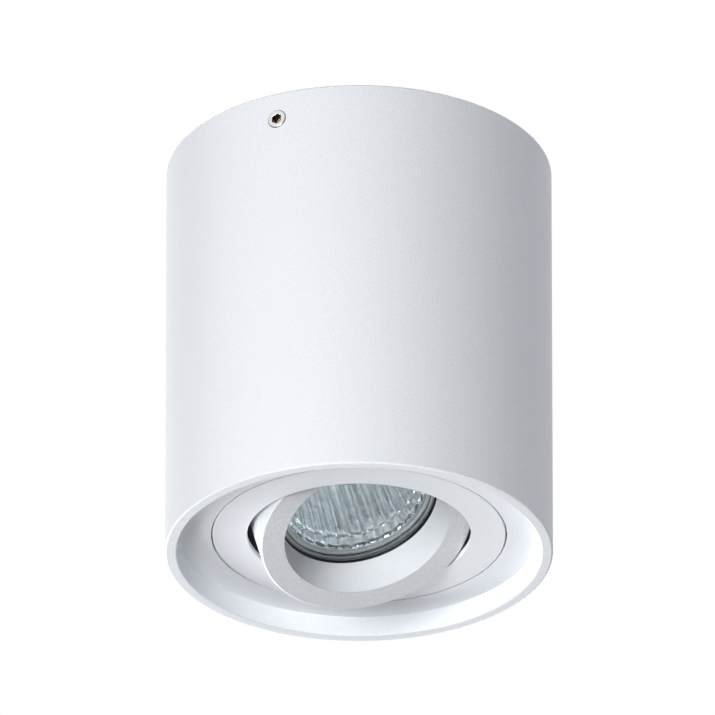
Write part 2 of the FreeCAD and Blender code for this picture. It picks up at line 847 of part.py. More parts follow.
def make_pivots():
    """The two shoulder screws of the tilt axis, and the spring washers under their ears."""
    screws, washers = [], []
    for yaw in ("0", "180"):
        shoulder_start = "spot_radius_from_axis"
        head_start = "ear_outside + running_gap"
        body = fuse(
            cylinder("pivot_thread_radius - running_gap / 2", "ring_wall",
                     along_x("channel_radius", yaw)),
            cylinder("shoulder_radius", f"{head_start} - {shoulder_start}",
                     along_x(shoulder_start, yaw)),
            cylinder("pivot_head_radius", "pivot_head_height", along_x(head_start, yaw)),
        )
        slot_x = f"{head_start} + pivot_head_height / 2"
        slot = block("pivot_head_height", "pivot_slot", "3 * pivot_head_radius",
                     placement(f"-({slot_x}) - pivot_head_height" if yaw == "180" else slot_x,
                               "-pivot_slot / 2", "-1.5 * pivot_head_radius"))
        screws.append(cut(body, slot))
        thick = "spot_depth + ear_gap - 2 * running_gap"
        washer_at = along_x(f"{shoulder_start} + running_gap", yaw)
        washers.append(cut(cylinder("spring_radius", thick, washer_at),
                           cylinder("shoulder_radius + running_gap", thick, washer_at)))
    keep("pivot_screws", group(*screws), GIMBAL)
    keep("pivot_washers", group(*washers), GIMBAL)


def make_lamp_clip():
    """The open wire ring that snaps into the groove in front of the lamp."""
    wire = doc.addObject("Part::Torus", "wire")
    bind(wire, Radius1="clip_radius", Radius2="clip_wire_radius",
         Angle3="360 - clip_opening")
    wire.setExpression("Placement", placement(z="clip_mid_w", yaw="clip_turn + clip_opening"))
    keep("lamp_clip", group(wire), GIMBAL)


# ---------------------------------------------------------------- lamp
def make_lamp():
    """A reflector lamp: front glass, bowl, capsule, filament, cap and pins."""
    keep("lamp_front_glass", turned("lamp_front_glass", [
        ("0", "glass_w"),
        ("glass_radius - running_gap", "glass_w"),
        ("glass_radius - running_gap", "glass_back_w"),
        ("0", "glass_back_w"),
    ]), GIMBAL)

    bowl = turned("lamp_reflector", [
        ("glass_radius", "lamp_w"),
        ("lamp_radius", "lamp_w"),
        ("lamp_radius", "rim_back_w"),
        ("bowl_back_radius", "rim_back_w"),
        ("by", "bowl_mid_radius", "bowl_w"),
        ("neck_radius", "neck_w"),
        ("neck_radius", "cap_w"),
        ("neck_radius - lamp_wall", "cap_w"),
        ("neck_radius - lamp_wall", "neck_w"),
        ("by", "bowl_mid_radius - lamp_wall", "bowl_w"),
        ("glass_seat_radius - lamp_wall / 4", "glass_back_w"),
        ("glass_radius", "glass_back_w"),
    ])
    keep("lamp_reflector", bowl, GIMBAL)

    slant = math.sqrt(0.5)
    keep("lamp_capsule", turned("lamp_capsule", [
        ("0", "capsule_w"),
        ("by", f"capsule_radius * {slant}", f"capsule_w + capsule_radius * {1 - slant}"),
        ("capsule_radius", "capsule_w + capsule_radius"),
        ("capsule_radius", "cap_w"),
        ("capsule_bore", "cap_w"),
        ("capsule_bore", "capsule_w + capsule_radius"),
        ("by", f"capsule_bore * {slant}",
         f"capsule_w + capsule_radius - capsule_bore * {slant}"),
        ("0", "capsule_w + capsule_wall"),
    ]), GIMBAL)

    coil_w = "capsule_w + capsule_radius"
    coil = cylinder("filament_radius", "filament_length",
                    placement("-filament_length / 2", z=coil_w, pitch="90"))
    wires = []
    for sign in ("-1", "1"):
        wire_x = f"{sign} * (filament_length / 2 - 2 * filament_wire_radius)"
        wires.append(cylinder("filament_wire_radius", f"cap_w - ({coil_w})",
                              placement(wire_x, z=coil_w)))
    keep("lamp_filament", fuse(coil, *wires), GIMBAL)

    cap = turned("lamp_cap", [
        ("0", "cap_w"),
        ("cap_radius", "cap_w"),
        ("cap_radius", "base_w"),
        ("0", "base_w"),
    ])
    round_edges(cap, "cap_chamfer", [("cap_radius", "cap_w")], kind="Chamfer")
    keep("lamp_cap", cap, GIMBAL)

    pins = []
    for sign in ("-1", "1"):
        x = f"{sign} * pin_spacing / 2"
        pins.append(fuse(
            cylinder("pin_radius", "pin_length", placement(x, z="base_w")),
            cylinder("pin_head_radius", "pin_head_height",
                     placement(x, z="pin_w - pin_head_height")),
        ))
    keep("lamp_pins", group(*pins), GIMBAL)


# ---------------------------------------------------------------- lampholder
def make_lampholder():
    """A two-piece ceramic lampholder with a contact behind each pin."""
    front = turned("lampholder_body", [
        ("0", "base_w"),
        ("holder_radius", "base_w"),
        ("holder_radius", "cover_w"),
        ("0", "cover_w"),
    ])
    round_edges(front, "holder_round / 2", [("holder_radius", "base_w")])
    sockets = new_sketch(front, "XY_Plane", "cover_w")
    threads = new_sketch(front, "XY_Plane", "cover_w")
    for sign in ("-1", "1"):
        draw_circle(sockets, f"{sign} * pin_spacing / 2", "0", "socket_radius")
        draw_circle(threads, "0", f"{sign} * holder_screw_offset", "holder_screw_radius")
    pocket(front, sockets, "holder_front + cut_margin")
    pocket(front, threads, "holder_front / 2")
    keep("lampholder_body", front, GIMBAL)

    cover = turned("lampholder_cover", [
        ("0", "cover_w"),
        ("holder_radius", "cover_w"),
        ("holder_radius", "holder_w"),
        ("0", "holder_w"),
    ])
    round_edges(cover, "holder_round", [("holder_radius", "holder_w")])
    inlets = new_sketch(cover, "XY_Plane", "holder_w")
    seats = new_sketch(cover, "XY_Plane", "holder_w")
    screw_holes = new_sketch(cover, "XY_Plane", "holder_w")
    for sign in ("-1", "1"):
        draw_circle(inlets, f"{sign} * holder_lead_offset", "0", "lead_hole_radius")
        draw_circle(seats, "0", f"{sign} * holder_screw_offset",
                    "holder_head_radius + lead_fit")
        draw_circle(screw_holes, "0", f"{sign} * holder_screw_offset",
                    "holder_screw_radius + running_gap")
    pocket(cover, inlets, "holder_back + cut_margin")
    pocket(cover, seats, "holder_head_height")
    pocket(cover, screw_holes, "holder_back + cut_margin")
    keep("lampholder_cover", cover, GIMBAL)

    contacts, screws = [], []
    for sign in ("-1", "1"):
        contacts.append(cylinder("pin_head_radius", "cover_w - pin_w", placement(
            f"{sign} * pin_spacing / 2", z="pin_w")))
        screws.append(screw(
            "holder_screw_radius - running_gap / 2",
            "holder_back - holder_head_height + holder_front / 3",
            "holder_head_radius", "holder_head_height",
            placement("0", f"{sign} * holder_screw_offset", "holder_w - holder_head_height"),
            slot="pivot_slot"))
    keep("lampholder_contacts", group(*contacts), GIMBAL)
    keep("lampholder_screws", group(*screws), GIMBAL)


# ---------------------------------------------------------------- leads
def rounded_path(points, radius):
    """Straight runs joined by tangent arcs."""
    edges, start = [], points[0]
    for before, corner, after in zip(points, points[1:], points[2:]):
        back = (before - corner).normalize()
        onward = (after - corner).normalize()
        half = back.getAngle(onward) / 2
        reach = radius / math.tan(half)
        inside = (back + onward).normalize()
        middle = corner + inside * (radius / math.sin(half) - radius)
        arc_start, arc_end = corner + back * reach, corner + onward * reach
        edges.append(Part.LineSegment(start, arc_start).toShape())
        edges.append(Part.Arc(arc_start, middle, arc_end).toShape())
        start = arc_end
    edges.append(Part.LineSegment(start, points[-1]).toShape())
    return Part.Wire(edges)


def lead_solid(label, points):
    """A round lead along a path, its volume checked against section times length."""
    path = rounded_path(points, value("lead_bend"))
    radius = value("lead_radius")
    direction = (points[1] - points[0]).normalize()
    section = Part.Wire([Part.Circle(points[0], direction, radius).toShape()])
    tube = path.makePipeShell([section], True, False)
    expected = math.pi * radius ** 2 * path.Length
    if abs(tube.Volume - expected) > 0.01 * expected:
        raise ValueError(f"{label}: the tube's volume is off")
    print(f"{label}: {path.Length:.1f} mm long, bends of {value('lead_bend'):.1f} mm")
    thing = doc.addObject("Part::Feature", label)
    thing.Shape = tube
    return thing


def make_leads():
    """Two sleeved leads.  Each is parted on the swivel axis, where it has to turn."""
    gimbal = FreeCAD.Placement(
        Vector(0, 0, value("pivot_z")),
        FreeCAD.Rotation(value("swivel_turn"), 0, value("tilt_turn")))
    along = FreeCAD.Rotation(value("swivel_turn"), 0, 0).multVec(Vector(1, 0, 0))
    pole_z, turn_y = -value("pole_drop"), value("lead_turn_y")
    run_z, swivel_z = value("lead_run_z"), value("lead_swivel_z")
    level_z = swivel_z - value("lead_bend + lead_radius")
    for name, sign in (("live_lead", -1), ("neutral_lead", 1)):
        pole = value(pole_x(sign))
        pair = along * (sign * value("lead_pair"))
        parting = pair + Vector(0, 0, swivel_z)
        upper = [
            Vector(pole, value("block_end - lead_entry"), pole_z),
            Vector(pole, turn_y, pole_z),
            Vector(pole, turn_y, run_z),
            pair + Vector(0, 0, run_z),
            parting,
        ]
        keep(name + "_upper", lead_solid(name + "_upper", upper), FIXED)
        inlet_x = sign * value("holder_lead_offset")
        inlet = gimbal.multVec(Vector(inlet_x, 0, value("holder_w - holder_back / 2")))
        up = gimbal.multVec(Vector(inlet_x, 0, value("holder_w"))) - inlet
        above = inlet + up * ((level_z - inlet.z) / up.z)
        lower = [parting, pair + Vector(0, 0, level_z), above, inlet]
        lower = [gimbal.inverse().multVec(point) for point in lower]
        keep(name + "_lower", lead_solid(name + "_lower", lower), GIMBAL)


# ---------------------------------------------------------------- build and write
def check(thing):
    """Stop on a failed feature or a bad shape."""
    if {"Invalid", "Error"} & set(thing.State):
        raise ValueError(f"{thing.Label} failed: {thing.State}")


def main():
    make_housing()
    make_side_screws()
    make_ceiling_bracket()
    make_cable_bushing()
    make_earth_terminal()
    make_terminal_block()
    make_swivel_washer()
    make_keeper_ring()
    make_keeper_screws()
    make_swivel_ring()
    make_lamp_ring()
    make_pivots()
    make_lamp_clip()
    make_lamp()
    make_lampholder()
    make_leads()
    doc.recompute()
    for thing in doc.Objects:
        check(thing)
    os.makedirs("parts", exist_ok=True)
    for body, things in nodes.items():
        for thing in things:
            shape = thing.Shape
            if shape.isNull() or not shape.isValid() or not shape.Solids:
                raise ValueError(f"{thing.Label} has no sound solid")
            shape.exportStep(f"parts/{thing.Label}.step")
            print(f"{body:7} {thing.Label:22} {len(shape.Solids)} solid(s) {shape.Volume:10.1f} mm3")


main()
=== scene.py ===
"""Looks of a surface mounted ceiling spotlight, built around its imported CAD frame.

Metres, +Z up into the ceiling.  The lamp's own frame has its origin on the tilt
axis and its -Z axis along the light's beam.
"""

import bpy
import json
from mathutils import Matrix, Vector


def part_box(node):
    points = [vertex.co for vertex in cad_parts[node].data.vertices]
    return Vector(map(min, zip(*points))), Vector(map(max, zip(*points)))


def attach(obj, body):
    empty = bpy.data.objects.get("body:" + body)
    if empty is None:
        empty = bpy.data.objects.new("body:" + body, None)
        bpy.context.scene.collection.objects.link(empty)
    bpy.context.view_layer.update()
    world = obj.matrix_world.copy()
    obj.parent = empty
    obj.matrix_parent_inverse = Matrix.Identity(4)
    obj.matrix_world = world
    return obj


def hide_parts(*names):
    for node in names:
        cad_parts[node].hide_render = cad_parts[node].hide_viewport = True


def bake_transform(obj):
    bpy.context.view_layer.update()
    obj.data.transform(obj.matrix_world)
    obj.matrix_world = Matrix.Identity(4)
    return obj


bl_info = {
    "name": "Ceiling spotlight",
    "version": (1, 0, 0),
    "blender": (4, 5, 0),
    "location": "View3D > Sidebar > Spotlight",
    "description": "Dresses a round ceiling spotlight: coating, reflector lamp, screws and leads",
    "category": "Object",
}

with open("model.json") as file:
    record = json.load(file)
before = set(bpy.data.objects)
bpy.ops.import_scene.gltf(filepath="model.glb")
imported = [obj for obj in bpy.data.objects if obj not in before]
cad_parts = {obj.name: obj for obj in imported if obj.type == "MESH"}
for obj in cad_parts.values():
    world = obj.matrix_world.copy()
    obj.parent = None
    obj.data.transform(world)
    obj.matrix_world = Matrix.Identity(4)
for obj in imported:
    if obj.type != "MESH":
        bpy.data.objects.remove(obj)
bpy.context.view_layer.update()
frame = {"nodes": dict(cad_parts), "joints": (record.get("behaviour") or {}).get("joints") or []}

import json
import math

import bmesh
import bpy
from mathutils import Matrix, Vector

NODES = frame["nodes"]
MM = 0.001
BODY_LOW, BODY_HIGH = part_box("housing")
JOINTS = {joint["name"]: joint for joint in frame["joints"]}
TILT_ORIGIN = Vector(JOINTS["lamp_tilt"]["pos_m"])
TILT_AXIS = Vector(JOINTS["lamp_tilt"]["axis"])
TILT_YAW = math.atan2(TILT_AXIS.y, TILT_AXIS.x)


# ------------------------------------------------------------------ sizes and colours
def length(name, description, default):
    """A length property whose default is given in millimetres."""
    return bpy.props.FloatProperty(name=name, description=description, default=default * MM,
                                   min=0.0, precision=5, unit="LENGTH")


def colour(name, description, default):
    """A linear colour property."""
    return bpy.props.FloatVectorProperty(name=name, description=description, default=default,
                                         min=0.0, max=1.0, size=3, subtype="COLOR")


class SpotlightSizes(bpy.types.PropertyGroup):
    """Sizes of the pieces that are modelled here."""
    tilt: bpy.props.FloatProperty(
        name="Tilt", description="How far the lamp leans from straight down",
        default=math.radians(22.3), subtype="ANGLE")
    wire: length("Clip wire radius", "Radius of the wire ring's wire", 0.6)
    wire_circle: length("Clip circle radius", "Radius of the wire ring's centreline", 25.15)
    wire_depth: length("Clip depth", "Height of the wire ring in the lamp's frame", 2.15)
    wire_opening: bpy.props.FloatProperty(
        name="Clip opening", description="Angle left open between the wire ring's ends",
        default=math.radians(34.0), subtype="ANGLE")
    wire_turn: bpy.props.FloatProperty(
        name="Clip turn", description="Where the wire ring's opening faces",
        default=math.radians(232.8), subtype="ANGLE")
    lamp_radius: length("Lamp radius", "Radius of the reflector's rim", 24.8)
    lamp_front: length("Lamp front", "Height of the lamp's rim in the lamp's frame", 2.8)
    lamp_rim: length("Lamp rim", "Thickness of the lamp's rim", 3.2)
    mouth_radius: length("Mouth radius", "Inside radius of the reflector at its front", 22.2)
    neck_radius: length("Neck radius", "Outside radius of the reflector's neck", 10.6)
    neck_bore: length("Neck bore", "Inside radius of the reflector's neck", 9.3)
    neck_height: length("Neck height", "Where the bowl meets the neck", 36.8)
    lamp_back: length("Lamp back", "Where the reflector's neck ends", 40.8)
    flute_depth: length("Flute depth", "Height of the pressed ribs in the reflector", 0.7)
    flute_count: bpy.props.IntProperty(
        name="Flutes", description="Number of ribs round the reflector", default=32, min=8)
    glass_radius: length("Glass radius", "Radius of the lamp's front glass", 23.45)
    glass_front: length("Glass front", "Height of the front glass's outer face", 3.0)
    glass_thick: length("Glass thickness", "Thickness of the front glass", 1.6)
    capsule_radius: length("Capsule radius", "Radius of the inner glass capsule", 4.5)
    capsule_wall: length("Capsule wall", "Thickness of the capsule's glass", 0.9)
    capsule_tip: length("Capsule tip", "Height of the capsule's rounded tip", 11.3)
    screw_radius: length("Set screw radius", "Radius of the side screws", 2.95)
    screw_drop: length("Set screw drop", "Distance of the side screws below the ceiling", 8.9)
    screw_face: length("Set screw face", "Distance of the screws' faces from the axis", 59.3)
    screw_end: length("Set screw end", "Distance of the screws' inner ends from the axis", 50.9)
    screw_socket: length("Hex socket", "Size of the hexagon across its flats", 3.0)
    socket_depth: length("Socket depth", "Depth of the hexagon socket", 3.2)
    lead_radius: length("Lead radius", "Radius of a sleeved lead", 1.0)


class SpotlightColours(bpy.types.PropertyGroup):
    """Colours of the finishes."""
    coat: colour("White coat", "The fine powder coat of the housing", (0.86, 0.88, 0.91))
    coarse_coat: colour("Sand coat", "The coarser coat on the lamp ring's face",
                        (0.80, 0.815, 0.84))
    # Painted shade: dark grey put on the housing's inside above the flange, standing in for shade
    # there
    painted_inner_shade: colour("Inner metal", "The housing's inside, where little powder reaches",
                 (0.30, 0.30, 0.31))
    chrome: colour("Chrome", "Plating of the side screws", (0.86, 0.85, 0.84))
    # Also darkened to paint the gap's shadow round the side screws' heads
    socket: colour("Socket", "Browned metal inside the side screws", (0.27, 0.22, 0.185))
    zinc: colour("Zinc", "Plating of the bracket and the small screws", (0.56, 0.57, 0.58))
    brass: colour("Brass", "Terminal sleeves, contacts and the earth screw", (0.66, 0.50, 0.24))
    mirror: colour("Reflector", "The metallised glass bowl", (0.90, 0.935, 0.955))
    glass: colour("Glass", "The lamp's front glass and capsule", (0.93, 0.97, 0.98))
    tungsten: colour("Tungsten", "The filament", (0.23, 0.22, 0.21))
    ceramic: colour("Ceramic", "The lamp's cap and the lampholder", (0.76, 0.74, 0.68))
    black: colour("Black plastic", "The cable bushing", (0.025, 0.025, 0.028))
    black_wire: colour("Black wire", "The blackened spring wire", (0.022, 0.023, 0.026))
    pale: colour("Pale plastic", "The terminal block and the sliding washer",
                 (0.72, 0.72, 0.69))
    live: colour("Live sleeve", "The brown lead's sleeve", (0.17, 0.075, 0.035))
    neutral: colour("Neutral sleeve", "The blue lead's sleeve", (0.05, 0.12, 0.32))


def sizes():
    """The scene's sizes."""
    return bpy.context.scene.spotlight_sizes


def colours():
    """The scene's colours."""
    return bpy.context.scene.spotlight_colours


def lamp_frame():
    """The lamp's own frame in the row frame."""
    return (Matrix.Translation(TILT_ORIGIN) @ Matrix.Rotation(TILT_YAW, 4, "Z")
            @ Matrix.Rotation(-sizes().tilt, 4, "X"))


# ------------------------------------------------------------------ shader nodes
def put(tree, socket, given):
    """Links a socket to another one, or sets it to a constant."""
    if isinstance(given, bpy.types.NodeSocket):
        tree.links.new(given, socket)
    else:
        socket.default_value = given


def math_node(tree, operation, *given):
    """One math node; each input is a number or a socket."""
    node = tree.nodes.new("ShaderNodeMath")
    node.operation = operation
    for socket, value in zip(node.inputs, given):
        put(tree, socket, value)
    return node.outputs["Value"]


def range_node(tree, source, low, high, to_low=0.0, to_high=1.0):
    """Maps a value from one range to another, clamped."""
    node = tree.nodes.new("ShaderNodeMapRange")
    for label, given in (("Value", source), ("From Min", low), ("From Max", high),
                         ("To Min", to_low), ("To Max", to_high)):
        put(tree, node.inputs[label], given)
    return node.outputs["Result"]


def noise_node(tree, vector, scale, detail=2.0, roughness=0.5):
    """A noise texture; the scale is a number or a socket."""
    node = tree.nodes.new("ShaderNodeTexNoise")
    for label, given in (("Vector", vector), ("Scale", scale), ("Detail", detail),
                         ("Roughness", roughness)):
        put(tree, node.inputs[label], given)
    return node.outputs["Fac"]


def cells_node(tree, vector, scale):
    """The distance to the nearest of many scattered points."""
    node = tree.nodes.new("ShaderNodeTexVoronoi")
    put(tree, node.inputs["Vector"], vector)
    put(tree, node.inputs["Scale"], scale)
    return node.outputs["Distance"]


def split_node(tree, vector):
    """The X, Y and Z of a vector."""
    node = tree.nodes.new("ShaderNodeSeparateXYZ")
    put(tree, node.inputs["Vector"], vector)
    return node.outputs["X"], node.outputs["Y"], node.outputs["Z"]


def plane_node(tree, x, y):
    """The vector (x, y, 0)."""
    node = tree.nodes.new("ShaderNodeCombineXYZ")
    put(tree, node.inputs["X"], x)
    put(tree, node.inputs["Y"], y)
    return node.outputs["Vector"]


def reach_node(tree, x, y):
    """The length of the vector (x, y, 0)."""
    node = tree.nodes.new("ShaderNodeVectorMath")
    node.operation = "LENGTH"
    put(tree, node.inputs[0], plane_node(tree, x, y))
    return node.outputs["Value"]


def mix_colours(tree, factor, first, second):
    """Mixes two colours; each is a triple or a socket."""
    node = tree.nodes.new("ShaderNodeMix")
    node.data_type = "RGBA"
    mixed, first_colour, second_colour = node.inputs[0], node.inputs[6], node.inputs[7]
    put(tree, mixed, factor)
    for socket, given in ((first_colour, first), (second_colour, second)):
        put(tree, socket, given if isinstance(given, bpy.types.NodeSocket) else (*given, 1.0))
    return node.outputs[2]


def mix_shaders(tree, factor, first, second, output):
    """Shows one of two shaders on the output, by a factor of 0 or 1."""
    node = tree.nodes.new("ShaderNodeMixShader")
    for socket, given in zip(node.inputs, (factor, first, second)):
        put(tree, socket, given)
    put(tree, output.inputs["Surface"], node.outputs["Shader"])


def ray_is(tree, *kinds):
    """1 for a ray of one of the named kinds and 0 for any other."""
    path = tree.nodes.new("ShaderNodeLightPath")
    found = path.outputs[kinds[0]]
    for kind in kinds[1:]:
        found = math_node(tree, "MAXIMUM", found, path.outputs[kind])
    return found


# ------------------------------------------------------------------ shared effects
def coat_grain(tree, vector, per_metre):
    """Powder coat: rounded grains of one size with a finer grain between them."""
    coarse = noise_node(tree, vector, per_metre, 1.5, 0.45)
    fine = noise_node(tree, vector, math_node(tree, "MULTIPLY", per_metre, 2.7), 1.0)
    patches = noise_node(tree, vector, 38.0, 4.0, 0.6)
    return {"Height": math_node(tree, "MULTIPLY_ADD", fine, 0.35, coarse),
            "Mottle": range_node(tree, coarse, 0.32, 0.68),
            "Soiling": range_node(tree, patches, 0.45, 0.8)}


def metal_wear(tree, vector, per_metre):
    """Plated or machined metal: fine scratches and dull patches."""
    stretch = tree.nodes.new("ShaderNodeMapping")
    stretch.inputs["Scale"].default_value = (1.0, 0.08, 1.0)
    put(tree, stretch.inputs["Vector"], vector)
    scratches = noise_node(tree, stretch.outputs["Vector"],
                           math_node(tree, "MULTIPLY", per_metre, 3.0), 2.0, 0.6)
    patches = noise_node(tree, vector, math_node(tree, "MULTIPLY", per_metre, 0.3), 3.0, 0.6)
    blotch = math_node(tree, "MULTIPLY_ADD", scratches, 0.4, patches)
    return {"Height": scratches, "Dulling": range_node(tree, blotch, 0.5, 0.95)}


def moulded_grain(tree, vector, per_metre):
    """Moulded plastic, ceramic and rubber: soft mottling and a fine tooth."""
    tooth = noise_node(tree, vector, per_metre)
    clouds = noise_node(tree, vector, math_node(tree, "MULTIPLY", per_metre, 0.12), 4.0, 0.65)
    return {"Height": tooth, "Mottle": range_node(tree, clouds, 0.35, 0.7)}


# Each effect: the name of its node group, its usual grain and the function that fills it
COAT = ("Coat grain", 0.6 * MM, coat_grain)
WEAR = ("Metal wear", 0.8 * MM, metal_wear)
MOULDED = ("Moulded grain", 0.5 * MM, moulded_grain)


def effect_group(name, grain, fill):
    """The node group of an effect, which is made once and then shared."""
    tree = bpy.data.node_groups.get(name)
    if tree is not None:
        return tree
    tree = bpy.data.node_groups.new(name, "ShaderNodeTree")
    sockets = tree.interface
    sockets.new_socket("Vector", in_out="INPUT", socket_type="NodeSocketVector")
    size = sockets.new_socket("Grain", in_out="INPUT", socket_type="NodeSocketFloat")
    size.default_value = grain
    start = tree.nodes.new("NodeGroupInput")
    per_metre = math_node(tree, "DIVIDE", 1.0, start.outputs["Grain"])
    made = fill(tree, start.outputs["Vector"], per_metre)
    for label in made:
        sockets.new_socket(label, in_out="OUTPUT", socket_type="NodeSocketFloat")
    end = tree.nodes.new("NodeGroupOutput")
    for label, value in made.items():
        put(tree, end.inputs[label], value)
    return tree


class Finish:
    """A material under construction: its node tree, shader and object coordinates."""

    def __init__(self, name):
        self.material = bpy.data.materials.new(name)
        self.material.use_nodes = True
        self.tree = self.material.node_tree
        self.tree.nodes.clear()
        self.output = self.tree.nodes.new("ShaderNodeOutputMaterial")
        self.shader = self.tree.nodes.new("ShaderNodeBsdfPrincipled")
        put(self.tree, self.output.inputs["Surface"], self.shader.outputs["BSDF"])
        self.place = self.tree.nodes.new("ShaderNodeTexCoord").outputs["Object"]

    def lamp_place(self):
        """Object coordinates seen from the lamp's own frame."""
        node = self.tree.nodes.new("ShaderNodeMapping")
        node.vector_type = "TEXTURE"
        where = lamp_frame()
        node.inputs["Location"].default_value = where.to_translation()
        node.inputs["Rotation"].default_value = where.to_euler()
        put(self.tree, node.inputs["Vector"], self.place)
        return node.outputs["Vector"]

    def effect(self, kind, grain):
        """Places a shared effect with its own grain size and gives its outputs."""
        node = self.tree.nodes.new("ShaderNodeGroup")
        node.node_tree = effect_group(*kind)
        node.inputs["Grain"].default_value = grain
        put(self.tree, node.inputs["Vector"], self.place)
        return node.outputs

    def bump(self, height, distance):
        """Feeds a height into the shader's normal."""
        node = self.tree.nodes.new("ShaderNodeBump")
        node.inputs["Distance"].default_value = distance
        put(self.tree, node.inputs["Height"], height)
        put(self.tree, self.shader.inputs["Normal"], node.outputs["Normal"])

    def feed(self, label, given):
        """Links one of the shader's sockets, or sets a constant there."""
        put(self.tree, self.shader.inputs[label], given)


# ------------------------------------------------------------------ finishes
def tinted(shade, factor):
    """A colour made lighter or darker."""
    return tuple(channel * factor for channel in shade)


def coat_base(name, shade, grain, roughness):
    """White powder coat; gives the finish, and its colour and height that are still to be fed."""
    finish = Finish(name)
    tree = finish.tree
    coat = finish.effect(COAT, grain)
    tone = mix_colours(tree, coat["Mottle"], tinted(shade, 0.955), shade)
    soiled = math_node(tree, "MULTIPLY", coat["Soiling"], 0.12)
    finish.feed("Roughness", range_node(tree, coat["Mottle"], 0.0, 1.0, roughness + 0.08,
                                        roughness))
    finish.feed("Specular IOR Level", 0.32)
    return finish, mix_colours(tree, soiled, tone, tinted(shade, 0.9)), coat["Height"]


def swivel_ring_finish():
    """The fine coat alone."""
    finish, coat, height = coat_base("Swivel ring coat", colours().coat, 0.6 * MM, 0.5)
    finish.feed("Base Color", coat)
    finish.bump(height, 0.06 * MM)
    return finish.material


def housing_finish():
    """The fine coat outside; inside, past the flange, it is darkened to a painted dark grey
    shade, which fades back to the coat near the open top.
    """
    shades = colours()
    finish, coat, height = coat_base("Fine white coat", shades.coat, 0.62 * MM, 0.52)
    finish.bump(height, 0.1 * MM)
    tree = finish.tree
    x, y, z = split_node(tree, finish.place)
    bore, flange_top = BODY_HIGH.x - 3.0 * MM, BODY_LOW.z + 8.1 * MM
    # Painted shade: the inside walls above the flange darken towards the inner shade colour,
    # blotched by a cloud
    inner_shade_mask = range_node(tree, reach_node(tree, x, y), bore, bore - 0.4 * MM)
    cloud = noise_node(tree, finish.place, 55.0, 3.0)
    for share in (range_node(tree, z, flange_top, flange_top + 0.3 * MM),
                  range_node(tree, z, -3.0 * MM, -18.0 * MM),
                  range_node(tree, cloud, 0.2, 0.6, 0.8, 1.0)):
        inner_shade_mask = math_node(tree, "MULTIPLY", inner_shade_mask, share)
    finish.feed("Base Color", mix_colours(tree, inner_shade_mask, coat, shades.painted_inner_shade))
    return finish.material


def lamp_ring_finish():
    """The fine coat, with the coarser sand texture on the ring's flat face."""
    shades = colours()
    finish, coat, fine_height = coat_base("Sand white coat", shades.coat, 0.6 * MM, 0.5)
    tree = finish.tree
    coarse = finish.effect(COAT, 0.95 * MM)
    z = split_node(tree, finish.lamp_place())[2]
    face = range_node(tree, z, -10.45 * MM, -10.55 * MM)
    sand = mix_colours(tree, coarse["Mottle"], tinted(shades.coarse_coat, 0.93),
                       shades.coarse_coat)
    finish.feed("Base Color", mix_colours(tree, face, coat, sand))
    coarse_height = math_node(tree, "MULTIPLY", coarse["Height"], 2.4)
    gap = math_node(tree, "SUBTRACT", coarse_height, fine_height)
    finish.bump(math_node(tree, "MULTIPLY_ADD", gap, face, fine_height), 0.06 * MM)
    return finish.material


def metal_finish(name, shade, roughness, grain=0.8 * MM, depth=0.006 * MM):
    """Plated or plain metal with wear."""
    finish = Finish(name)
    tree = finish.tree
    wear = finish.effect(WEAR, grain)
    finish.feed("Base Color", mix_colours(tree, wear["Dulling"], shade, tinted(shade, 0.72)))
    finish.feed("Metallic", 1.0)
    finish.feed("Roughness", range_node(tree, wear["Dulling"], 0.0, 1.0, roughness,
                                        roughness + 0.22))
    finish.bump(wear["Height"], depth)
    return finish.material


def screw_finish():
    """Chrome, brown in the hexagon socket, with a painted shadow of the gap round the head's
    edge.
    """
    s, shades = sizes(), colours()
    finish = Finish("Chromed screw")
    tree = finish.tree
    wear = finish.effect(WEAR, 0.5 * MM)
    x, y, z = split_node(tree, finish.place)
    reach = reach_node(tree, x, math_node(tree, "ADD", z, s.screw_drop))
    corner = s.screw_socket / math.sqrt(3)
    deep = range_node(tree, math_node(tree, "ABSOLUTE", y), s.screw_face - 0.15 * MM,
                      s.screw_face - 0.6 * MM)
    inside = math_node(tree, "MULTIPLY", range_node(tree, reach, corner + 0.2 * MM, corner),
                       deep)
    # Painted shadow: a near-black ring on the head's rim stands in for the shade of the gap
    # between the screw and its hole
    edge = range_node(tree, reach, s.screw_radius - 0.35 * MM, s.screw_radius - 0.05 * MM)
    tone = mix_colours(tree, wear["Dulling"], shades.chrome, tinted(shades.chrome, 0.8))
    tone = mix_colours(tree, inside, tone, shades.socket)
    finish.feed("Base Color", mix_colours(tree, edge, tone, tinted(shades.socket, 0.3)))
    finish.feed("Metallic", 1.0)
    finish.feed("Roughness", range_node(tree, wear["Dulling"], 0.0, 1.0, 0.12, 0.3))
    finish.bump(wear["Height"], 0.004 * MM)
    return finish.material


def moulded_finish(name, shade, roughness, grain=0.5 * MM, depth=0.02 * MM):
    """Moulded plastic or ceramic; gives the finish itself, which the floor adds to."""
    finish = Finish(name)
    tree = finish.tree
    skin = finish.effect(MOULDED, grain)
    finish.feed("Base Color", mix_colours(tree, skin["Mottle"], tinted(shade, 0.88), shade))
    finish.feed("Roughness", range_node(tree, skin["Mottle"], 0.0, 1.0, roughness + 0.12,
                                        roughness))
    finish.bump(skin["Height"], depth)
    return finish


def sleeve_finish(name, shade):
    """Braided glass-fibre sleeve of a lead."""
    finish = Finish(name)
    tree = finish.tree
    strands = range_node(tree, cells_node(tree, finish.place, 2600.0), 0.1, 0.75)
    finish.feed("Base Color", mix_colours(tree, strands, tinted(shade, 1.5), tinted(shade, 0.6)))
    finish.feed("Roughness", range_node(tree, strands, 0.0, 1.0, 0.6, 0.85))
    finish.bump(strands, -0.06 * MM)
    return finish.material


